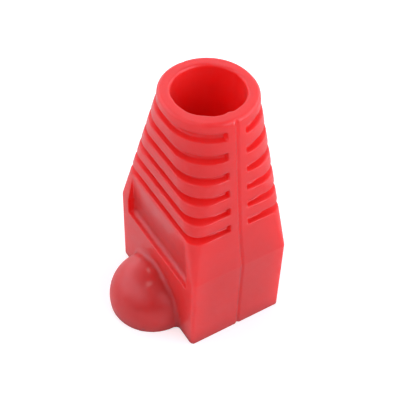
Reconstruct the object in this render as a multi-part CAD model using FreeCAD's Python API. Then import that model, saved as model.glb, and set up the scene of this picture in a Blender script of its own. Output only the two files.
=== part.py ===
import FreeCAD, Part
import math
import os
from FreeCAD import Vector

# Strain relief boot for a modular network plug, moulded in one piece of soft
# PVC. The plug's back end pushes into the rectangular socket underneath, the
# cable leaves through the round bore on top, and the hollow bubble on the
# front covers the plug's release lever.
# Millimetres. +Z runs from the plug end up to the cable end, -Y is the lever
# side. The model is built about the bore's axis, then moved so that the origin
# is on the plug-end face, in the middle of the overall box.

# --- driving dimensions -------------------------------------------------
boot_height = 25.45         # plug-end face to the cable-end rim

# the modular plug and the walls round it
plug_width = 11.7           # along X
plug_thickness = 7.5        # along Y
plug_clearance = 0.15       # all round the plug
side_wall = 1.0
front_wall = 1.41           # lever side
back_wall = 1.05
housing_height = 9.15       # plug-end face up to the shoulder
housing_corner = 0.4        # outside corner radius
socket_depth = 9.0
socket_corner = 0.5

# the cable and the walls round it
cable_diameter = 6.0
cable_clearance = 0.3       # radial
funnel_height = 6.0         # the socket narrows to the bore over this height
collar_wall = 1.1           # at the collar's lower edge
collar_side_wall = 1.32
collar_height = 1.05        # plain band between the first groove and the rim
rim_wall = 1.05             # at the rim
rim_side_wall = 1.14
collar_flat = 0.08          # corner radius stays this much short of a full round

# the waist, where the plain taper ends and the ribs begin
waist_in_side = 0.9         # set in from the housing's walls
waist_in_front = 0.26
waist_in_back = 0.15
waist_corner = 1.2

# grooves between the ribs, square-ended at a plain spine on each side
groove_count = 6
groove_pitch = 2.018
groove_height = 0.8
groove_depth = 0.62
groove_below_rim = 1.42     # rim to the first groove's middle
core_corner_extra = 0.85    # groove floors are rounder than the ribs outside
spine_width = 1.8           # plain strip left down the middle of each side

# mould parting line, a fine groove down the middle of each side
parting_width = 0.3
parting_depth = 0.15

# shallow pocket in the lever-side wall, below the ribs
pocket_cheek = 1.4          # wall left at each side
pocket_sill_drop = 1.75     # shoulder down to the sill
pocket_depth = 0.75
pocket_top_gap = 0.45       # kept between the pocket and the lowest groove
pocket_cove_share = 0.8     # radius where its floor meets the sill, as a share of the depth

# bubble over the release lever
bubble_radius = 4.37
bubble_wall = 0.8
bubble_height = 0.87        # centre above the plug-end face
bubble_stand = 0.43         # centre in front of the wall
bubble_flare = 0.5          # concave radius where it grows out of the wall

# bevelled edges of the rim
rim_bevel = 0.2             # outside
mouth_bevel = 0.2           # at the bore

# --- worked out from them -----------------------------------------------
socket_half_x = plug_width / 2 + plug_clearance
socket_half_y = plug_thickness / 2 + plug_clearance
half_width = socket_half_x + side_wall
housing_front = socket_half_y + front_wall
housing_back = socket_half_y + back_wall
bore_radius = cable_diameter / 2 + cable_clearance
groove_levels = [boot_height - groove_below_rim - i * groove_pitch for i in range(groove_count)]
waist_height = groove_levels[-1] - groove_height / 2
bubble_y = -(housing_front + bubble_stand)
bore_y = (bubble_radius - bubble_y - housing_back) / 2
reach = 4 * half_width      # cutters run out this far to clear the part
below = 2 * bubble_radius   # built this far past the plug-end face, then trimmed
touching = 0.01             # edges are found by position within this


def rounded_section(half_x, front, back, corner, z):
    """Closed outline at height z: four straight sides joined by four arcs."""
    x = half_x - corner
    y_front = corner - front
    y_back = back - corner
    bow = corner * math.sqrt(0.5)
    centres = ((x, y_front, 1, -1), (x, y_back, 1, 1), (-x, y_back, -1, 1), (-x, y_front, -1, -1))
    arcs = []
    for i, (cx, cy, sx, sy) in enumerate(centres):
        along_x = Vector(cx + sx * corner, cy, z)
        along_y = Vector(cx, cy + sy * corner, z)
        start, end = (along_y, along_x) if i % 2 == 0 else (along_x, along_y)
        arcs.append((start, Vector(cx + sx * bow, cy + sy * bow, z), end))
    edges = []
    for i, (start, middle, end) in enumerate(arcs):
        following = arcs[(i + 1) % len(arcs)][0]
        edges.append(Part.Arc(start, middle, end).toShape())
        edges.append(Part.LineSegment(end, following).toShape())
    return Part.Wire(edges)


def prism(section, height):
    return Part.Face(section).extrude(Vector(0, 0, height))


def tapered(bottom, top):
    return Part.makeLoft([bottom, top], True, True)


def block(x0, x1, y0, y1, z0, z1):
    return Part.makeBox(x1 - x0, y1 - y0, z1 - z0, Vector(x0, y0, z0))


def frustum(low_x, low_y, high_x, high_y, z0, z1):
    """Four flat walls about the Z axis, from one rectangle's half sizes to another's."""
    turned = FreeCAD.Rotation(Vector(1, 0, 0), 90)
    wedge = Part.makeWedge(-low_x, 0, -low_y, -high_y, -high_x, low_x, z1 - z0, low_y, high_y, high_x)
    wedge.Placement = FreeCAD.Placement(Vector(0, 0, z0), turned)
    return wedge


def slab(half_thickness, z0, z1):
    """A wide upright slab across the middle, square to Y."""
    return block(-reach, reach, -half_thickness, half_thickness, z0, z1)


def housing(inset):
    section = rounded_section(half_width - inset, housing_front - inset, housing_back - inset,
                              housing_corner, -below)
    return prism(section, below + housing_height)


def round_section(side_wall_here, wall_here, inset, z):
    half_x = bore_radius + side_wall_here - inset
    half_y = bore_radius + wall_here - inset
    return rounded_section(half_x, half_y, half_y, half_y - collar_flat, z)


def taper(inset, extra_corner):
    """Square at the shoulder, nearly round at the collar, set in by inset."""
    shoulder = rounded_section(half_width - inset, housing_front - inset, housing_back - inset,
                               housing_corner + extra_corner, housing_height)
    waist = rounded_section(half_width - waist_in_side - inset,
                            housing_front - waist_in_front - inset,
                            housing_back - waist_in_back - inset,
                            waist_corner + extra_corner, waist_height)
    collar = round_section(collar_side_wall, collar_wall, inset, boot_height - collar_height)
    rim = round_section(rim_side_wall, rim_wall, inset, boot_height)
    return tapered(shoulder, waist).fuse([tapered(waist, collar), tapered(collar, rim)])


def groove_cutters():
    """Rings round the rounder core inside, stopping short of the side spines."""
    core = taper(groove_depth, core_corner_extra)
    rings = []
    for level in groove_levels:
        low = level - groove_height / 2
        high = level + groove_height / 2
        rings.append(slab(reach, low, high).cut(core).cut(slab(spine_width / 2, low, high)))
    return rings


def parting_cutter():
    """A thin slab that bites only as deep as the parting line."""
    inside = housing(parting_depth).fuse(taper(parting_depth, 0))
    return slab(parting_width / 2, -below, boot_height + below).cut(inside)


def front_at(z):
    """Distance from the bore's axis to the plain taper's front at height z."""
    share = (z - housing_height) / (waist_height - housing_height)
    return housing_front - share * waist_in_front


def pocket_cutter():
    """A panel sunk between two cheeks, with a sill below and a ramp above."""
    half = half_width - pocket_cheek
    floor_y = pocket_depth - housing_front
    sill = housing_height - pocket_sill_drop
    top = waist_height - pocket_top_gap
    corners = [Vector(-half, -reach, sill),
               Vector(-half, floor_y, sill),
               Vector(-half, floor_y, housing_height),
               Vector(-half, -front_at(top), top),
               Vector(-half, -reach, top)]
    profile = Part.makePolygon(corners + corners[:1])
    sunk = Part.Face(profile).extrude(Vector(2 * half, 0, 0))
    straight = frustum(half, reach, half, reach, sill, housing_height)
    leaning = frustum(half, reach, half - waist_in_side, reach, housing_height, waist_height)
    cutter = sunk.common(straight.fuse(leaning)).removeSplitter()
    inner = [edge for edge in edges_at(cutter, sill) if edge.BoundBox.YMin > floor_y - touching]
    return cutter.makeFillet(pocket_depth * pocket_cove_share, inner)


def arc_point(centre, radius, angle):
    """A point in the YZ plane, the angle measured from +Y towards +Z."""
    return centre + Vector(0, radius * math.cos(angle), radius * math.sin(angle))


def bubble_outside():
    """A dome spun about its own axis, flaring out where it meets the wall."""
    dome = Vector(0, bubble_y, bubble_height)
    apart = bubble_radius + bubble_flare
    touch = math.acos((bubble_stand - bubble_flare) / apart)
    flare = arc_point(dome, apart, touch)
    pole = arc_point(dome, bubble_radius, math.pi)
    tangent = arc_point(dome, bubble_radius, touch)
    foot = arc_point(flare, bubble_flare, 0)
    root = Vector(0, parting_depth, 0)
    axis_end = Vector(0, -housing_front, bubble_height) + root
    edges = [Part.Arc(pole, arc_point(dome, bubble_radius, (touch + math.pi) / 2), tangent).toShape(),
             Part.Arc(tangent, arc_point(flare, bubble_flare, (touch - math.pi) / 2), foot).toShape(),
             Part.makePolygon([foot, foot + root, axis_end, pole])]
    return Part.Face(Part.Wire(edges)).revolve(dome, Vector(0, 1, 0), 360)


def bubble_inside():
    """The hollow for the release lever, open to the socket and underneath."""
    radius = bubble_radius - bubble_wall
    centre = Vector(0, bubble_y, bubble_height)
    dome = Part.makeSphere(radius, centre)
    way_in = Part.makeCylinder(radius, -bubble_y, centre, Vector(0, 1, 0))
    way_out = Part.makeCylinder(radius, below, centre, Vector(0, 0, -1))
    return dome.fuse([way_in, way_out])


def socket():
    """The plug's rectangular socket and the funnel from it to the bore."""
    mouth = rounded_section(socket_half_x, socket_half_y, socket_half_y, socket_corner, -below)
    throat_half = bore_radius + collar_flat
    leaning_walls = frustum(socket_half_x, socket_half_y, throat_half, throat_half,
                            socket_depth, socket_depth + funnel_height)
    to_corner = math.hypot(socket_half_x - socket_corner, socket_half_y - socket_corner) + socket_corner
    rounding = Part.makeCone(to_corner, bore_radius, funnel_height, Vector(0, 0, socket_depth))
    return prism(mouth, below + socket_depth).fuse(leaning_walls.common(rounding))


def bore():
    """The straight bore, bevelled where the cable comes out."""
    start = socket_depth + funnel_height / 2
    straight = Part.makeCylinder(bore_radius, boot_height, Vector(0, 0, start))
    bevel = Part.makeCone(bore_radius, bore_radius + mouth_bevel, mouth_bevel,
                          Vector(0, 0, boot_height - mouth_bevel))
    return straight.fuse(bevel)


def edges_at(shape, z):
    level = [edge for edge in shape.Edges if edge.BoundBox.ZMin > z - touching]
    return [edge for edge in level if edge.BoundBox.ZMax < z + touching]


body = housing(0).fuse(taper(0, 0)).removeSplitter()
body = body.makeChamfer(rim_bevel, edges_at(body, boot_height))
outside = body.fuse(bubble_outside()).removeSplitter()
outside = outside.cut(slab(reach, -2 * below, 0))
for cutter in groove_cutters() + [parting_cutter(), pocket_cutter()]:
    outside = outside.cut(cutter)
boot = outside.cut(socket().fuse([bore(), bubble_inside()])).removeSplitter()
boot.translate(Vector(0, bore_y, 0))

os.makedirs("parts", exist_ok=True)
boot.exportStep("parts/boot.step")
box = boot.optimalBoundingBox(False)
print("solids", len(boot.Solids), "valid", boot.isValid(), "volume", round(boot.Volume, 2))
print("box", [round(v, 3) for v in (box.XMin, box.XMax, box.YMin, box.YMax, box.ZMin, box.ZMax)])
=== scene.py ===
import bpy
import math
from mathutils import Matrix, Vector, noise


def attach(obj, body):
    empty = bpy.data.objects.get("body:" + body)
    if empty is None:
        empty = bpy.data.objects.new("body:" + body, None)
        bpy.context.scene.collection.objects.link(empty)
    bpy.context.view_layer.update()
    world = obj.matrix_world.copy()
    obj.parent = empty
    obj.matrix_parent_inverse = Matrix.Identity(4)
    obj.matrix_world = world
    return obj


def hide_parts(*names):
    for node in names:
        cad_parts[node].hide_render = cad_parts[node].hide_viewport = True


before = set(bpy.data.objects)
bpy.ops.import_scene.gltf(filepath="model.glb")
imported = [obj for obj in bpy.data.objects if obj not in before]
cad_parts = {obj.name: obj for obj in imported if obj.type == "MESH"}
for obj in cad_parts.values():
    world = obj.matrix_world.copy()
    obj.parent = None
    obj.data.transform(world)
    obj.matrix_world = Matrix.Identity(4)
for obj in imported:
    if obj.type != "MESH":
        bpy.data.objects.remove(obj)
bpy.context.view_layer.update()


# --- the boot ----------------------------------------------------------------
# One injection moulding in soft, pigmented PVC, pushed over a network plug's
# back end. It has no fixing: the socket grips the plug. The material is satin,
# a little waxy, and lets some light through.
class Field:
    """Wraps one output socket of a node tree, so that maths reads as maths."""

    def __init__(self, tree, socket):
        self.tree = tree
        self.socket = socket

    @classmethod
    def start(cls, tree, kind, output):
        """A node that has no inputs, read at one of its outputs."""
        return cls(tree, tree.nodes.new(kind).outputs[output])

    def plug(self, value, socket):
        if isinstance(value, Field):
            self.tree.links.new(value.socket, socket)
        else:
            socket.default_value = value

    def node(self, kind, inputs, output=0, **settings):
        """Any node: settings as attributes first, then inputs by name or number."""
        made = self.tree.nodes.new(kind)
        for name, value in settings.items():
            setattr(made, name, value)
        for name, value in inputs.items():
            self.plug(value, made.inputs[name])
        return Field(self.tree, made.outputs[output])

    def maths(self, operation, first, second):
        return self.node("ShaderNodeMath", {0: first, 1: second}, operation=operation)

    def __add__(self, other):
        return self.maths("ADD", self, other)

    def __radd__(self, other):
        return self.maths("ADD", other, self)

    def __sub__(self, other):
        return self.maths("SUBTRACT", self, other)

    def __rsub__(self, other):
        return self.maths("SUBTRACT", other, self)

    def __mul__(self, other):
        return self.maths("MULTIPLY", self, other)

    def __rmul__(self, other):
        return self.maths("MULTIPLY", other, self)

    def __pow__(self, other):
        return self.maths("POWER", self, other)

    def __rpow__(self, other):
        return self.maths("POWER", other, self)

    def larger(self, other):
        return self.maths("MAXIMUM", self, other)

    def band(self, low, high):
        """0 below low, 1 above high, smooth between."""
        return self.node("ShaderNodeMapRange",
                         {"Value": self, "From Min": low, "From Max": high},
                         interpolation_type="SMOOTHSTEP")

    def noisy(self, scale, detail, roughness):
        """Noise over this field of positions, scale in cells to the metre."""
        return self.node("ShaderNodeTexNoise",
                         {"Vector": self, "Scale": scale, "Detail": detail,
                          "Roughness": roughness})

    def mix(self, first, second):
        """This field as the factor between two colours."""
        return self.node("ShaderNodeMix", {0: self, 6: first, 7: second}, output=2,
                         data_type="RGBA")


def soft_pvc():
    red = (0.86, 0.023, 0.020, 1.0)
    paler_red = (0.90, 0.028, 0.025, 1.0)
    scuffed_red = (0.88, 0.07, 0.07, 1.0)
    along_the_pull = (1.0, 1.0, 0.12)   # scuffs run up the sides

    material = bpy.data.materials.new("soft_pvc")
    material.use_nodes = True
    tree = material.node_tree
    shader = tree.nodes["Principled BSDF"]
    place = Field.start(tree, "ShaderNodeTexCoord", "Object")
    cloudy = place.noisy(230.0, 3.0, 0.55)
    mottled = place.noisy(900.0, 4.0, 0.6)
    grain = place.noisy(5200.0, 2.0, 0.5)
    streaky = place.node("ShaderNodeVectorMath", {0: place, 1: along_the_pull},
                         operation="MULTIPLY")
    worn = streaky.noisy(1500.0, 3.0, 0.7).band(0.62, 0.74) * cloudy.band(0.45, 0.6)

    clean = cloudy.band(0.3, 0.7).mix(red, paler_red)
    color = (worn * 0.2).mix(clean, scuffed_red)
    rough = 0.50 + (mottled - 0.5) * 0.2 + worn * 0.12
    height = mottled * 0.55 + grain * 0.3 + worn * 0.06
    bump = place.node("ShaderNodeBump",
                      {"Height": height, "Strength": 0.35, "Distance": 0.00004})

    place.plug(color, shader.inputs["Base Color"])
    place.plug(rough, shader.inputs["Roughness"])
    place.plug(bump, shader.inputs["Normal"])
    for name, value in (("IOR", 1.56), ("Specular IOR Level", 0.33),
                        ("Specular Tint", (0.90, 0.92, 1.0, 1.0)),
                        ("Coat Weight", 0.5), ("Coat Roughness", 0.18),
                        ("Subsurface Weight", 1.0),
                        ("Subsurface Radius", (1.0, 0.08, 0.06)),
                        ("Subsurface Scale", 0.0040)):
        shader.inputs[name].default_value = value
    return material


def ragged_mouth(mesh):
    """The core pin leaves the mouth's inner edge uneven, with two scraps of flash."""
    edge_radius = 0.00345
    reach = 0.0007              # only this far down from the rim
    scraps = ((-0.03, 0.10, 1.0), (1.80, 0.08, 0.7))    # turn, spread, share

    top = max(v.co.z for v in mesh.vertices)
    rim = [v.co.y for v in mesh.vertices if v.co.z > top - 0.00005]
    middle = (min(rim) + max(rim)) / 2
    for v in mesh.vertices:
        if v.co.z < top - reach:
            continue
        out = Vector((v.co.x, v.co.y - middle, 0.0))
        near = math.exp(-((out.length - edge_radius) / 0.00022) ** 2
                        - ((v.co.z - top) / 0.0003) ** 2)
        if near < 0.02:
            continue
        turn = math.atan2(out.y, out.x)
        uneven = noise.noise((3.0 * math.cos(turn), 3.0 * math.sin(turn), 1.7))
        scrap = sum(share * math.exp(-((turn - at) / spread) ** 2)
                    for at, spread, share in scraps)
        v.co -= out.normalized() * near * (0.00006 + 0.00012 * uneven + 0.00018 * scrap)


def moulded_boot():
    """The CAD solid's surface cast again as an even skin, its edges relaxed."""
    skin_cell = 0.00008
    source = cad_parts["boot"]
    mesh = source.data.copy()
    mesh.materials.clear()
    boot = bpy.data.objects.new("moulded_boot", mesh)
    bpy.context.scene.collection.objects.link(boot)
    boot.matrix_world = source.matrix_world.copy()
    skin = boot.modifiers.new("skin", "REMESH")
    skin.mode = "VOXEL"
    skin.voxel_size = skin_cell
    skin.use_smooth_shade = True
    relax = boot.modifiers.new("relax", "SMOOTH")
    relax.factor = 0.5
    relax.iterations = 5
    thin = boot.modifiers.new("thin", "DECIMATE")
    thin.ratio = 0.2
    bpy.context.view_layer.update()
    done = bpy.data.meshes.new_from_object(
        boot.evaluated_get(bpy.context.evaluated_depsgraph_get()))
    boot.modifiers.clear()
    boot.data = done
    ragged_mouth(done)
    done.polygons.foreach_set("use_smooth", [True] * len(done.polygons))
    done.materials.clear()
    done.materials.append(soft_pvc())
    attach(boot, "root")
    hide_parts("boot")


moulded_boot()


# --- the floor ---------------------------------------------------------------
# Pale paper, laid flat under the boot. To the lens it glows a little, so that
# it reads as white with only the boot's shadow on it.
def white_floor():
    bpy.ops.mesh.primitive_plane_add(size=3.0, location=(0.0, 0.0, 0.0))
    floor = bpy.context.object
    floor.name = "floor"
    material = bpy.data.materials.new("white_paper")
    material.use_nodes = True
    tree = material.node_tree
    shader = tree.nodes["Principled BSDF"]
    place = Field.start(tree, "ShaderNodeTexCoord", "Object")
    fibre = place.noisy(1800.0, 3.0, 0.5)
    seen = Field.start(tree, "ShaderNodeLightPath", "Is Camera Ray")
    tint = fibre.mix((0.69, 0.69, 0.69, 1.0), (0.73, 0.73, 0.73, 1.0))
    glow = seen.mix((0.0, 0.0, 0.0, 1.0), (0.54, 0.54, 0.54, 1.0))
    place.plug(tint, shader.inputs["Base Color"])
    place.plug(0.8 + fibre * 0.15, shader.inputs["Roughness"])
    place.plug(glow, shader.inputs["Emission Color"])
    shader.inputs["Emission Strength"].default_value = 1.0
    floor.data.materials.append(material)


white_floor()


# --- the light ---------------------------------------------------------------
# A tent of broad, slightly cool panels all round, uneven in strength and low
# enough to reach into the grooves; to the lens it is plain white. Two small
# lamps from above put a glint on the bubble.
def toward(azimuth, elevation):
    """Unit vector: azimuth 0 is -Y, 90 is +X, in degrees."""
    turn = math.radians(azimuth)
    rise = math.radians(elevation)
    return (math.sin(turn) * math.cos(rise), -math.cos(turn) * math.cos(rise),
            math.sin(rise))


def white_tent():
    falloff = 14.0              # a higher power makes each panel smaller
    panels = ((15, 38, 1.5), (337, 32, 1.35), (300, 26, 1.4), (270, 10, 1.6),
              (225, 10, 1.2), (190, 8, 1.2), (160, 12, 1.3), (125, 12, 3.0),
              (160, 28, 1.3), (112, 32, 2.2), (200, 38, 0.7), (60, 60, 0.2),
              (250, 38, 0.8), (325, 10, 1.1))   # azimuth, elevation, strength
    world = bpy.data.worlds.new("white_tent")
    bpy.context.scene.world = world
    world.use_nodes = True
    tree = world.node_tree
    back = tree.nodes["Background"]
    place = Field.start(tree, "ShaderNodeTexCoord", "Generated")
    way = place.node("ShaderNodeVectorMath", {0: place}, operation="NORMALIZE")
    glow = 0.0
    for azimuth, elevation, strength in panels:
        facing = way.node("ShaderNodeVectorMath", {0: way, 1: toward(azimuth, elevation)},
                          output=1, operation="DOT_PRODUCT")
        glow = facing.larger(0.0) ** falloff * strength + glow
    seen = Field.start(tree, "ShaderNodeLightPath", "Is Camera Ray")
    strength = seen.node("ShaderNodeMix", {0: seen, 2: glow, 3: 1.0}, data_type="FLOAT")
    back.inputs["Color"].default_value = (0.99, 0.98, 1.08, 1.0)
    seen.plug(strength, back.inputs["Strength"])


def small_lamp(name, azimuth, elevation, power):
    aim = Vector((0.0, 0.0, 0.012))
    distance = 0.35
    way = Vector(toward(azimuth, elevation))
    light = bpy.data.lights.new(name, "AREA")
    light.shape = "RECTANGLE"
    light.size = light.size_y = 0.06
    light.energy = power
    lamp = bpy.data.objects.new(name, light)
    bpy.context.scene.collection.objects.link(lamp)
    lamp.location = aim + distance * way
    lamp.rotation_euler = (-way).to_track_quat("-Z", "Y").to_euler()


white_tent()
small_lamp("high_left", 256, 64, 0.09)
small_lamp("high_front", 26, 72, 0.07)


# --- the camera --------------------------------------------------------------
# About 9 cm away, a little above 45 degrees, facing the corner between the
# bubble's side and the narrow side.
def camera():
    azimuth = math.radians(57.069)
    elevation = math.radians(47.146)
    roll = math.radians(2.173)
    distance = 0.09151
    off_middle = 0.000383
    back = Vector((math.sin(azimuth) * math.cos(elevation),
                   -math.cos(azimuth) * math.cos(elevation), math.sin(elevation)))
    level = Vector((math.cos(azimuth), math.sin(azimuth), 0.0))
    upright = back.cross(level)
    right = math.cos(roll) * level + math.sin(roll) * upright
    up = math.cos(roll) * upright - math.sin(roll) * level
    target = Vector((0.0, 0.00258, 0.011589)) - off_middle * level
    data = bpy.data.cameras.new("camera")
    data.lens = 86.19
    data.sensor_width = 36.0
    data.clip_start = 0.005
    eye = bpy.data.objects.new("camera", data)
    bpy.context.scene.collection.objects.link(eye)
    turned = Matrix((right, up, back)).transposed().to_4x4()
    eye.matrix_world = Matrix.Translation(target + distance * back) @ turned
    bpy.context.scene.camera = eye


camera()
bpy.context.scene.view_settings.view_transform = "Standard"
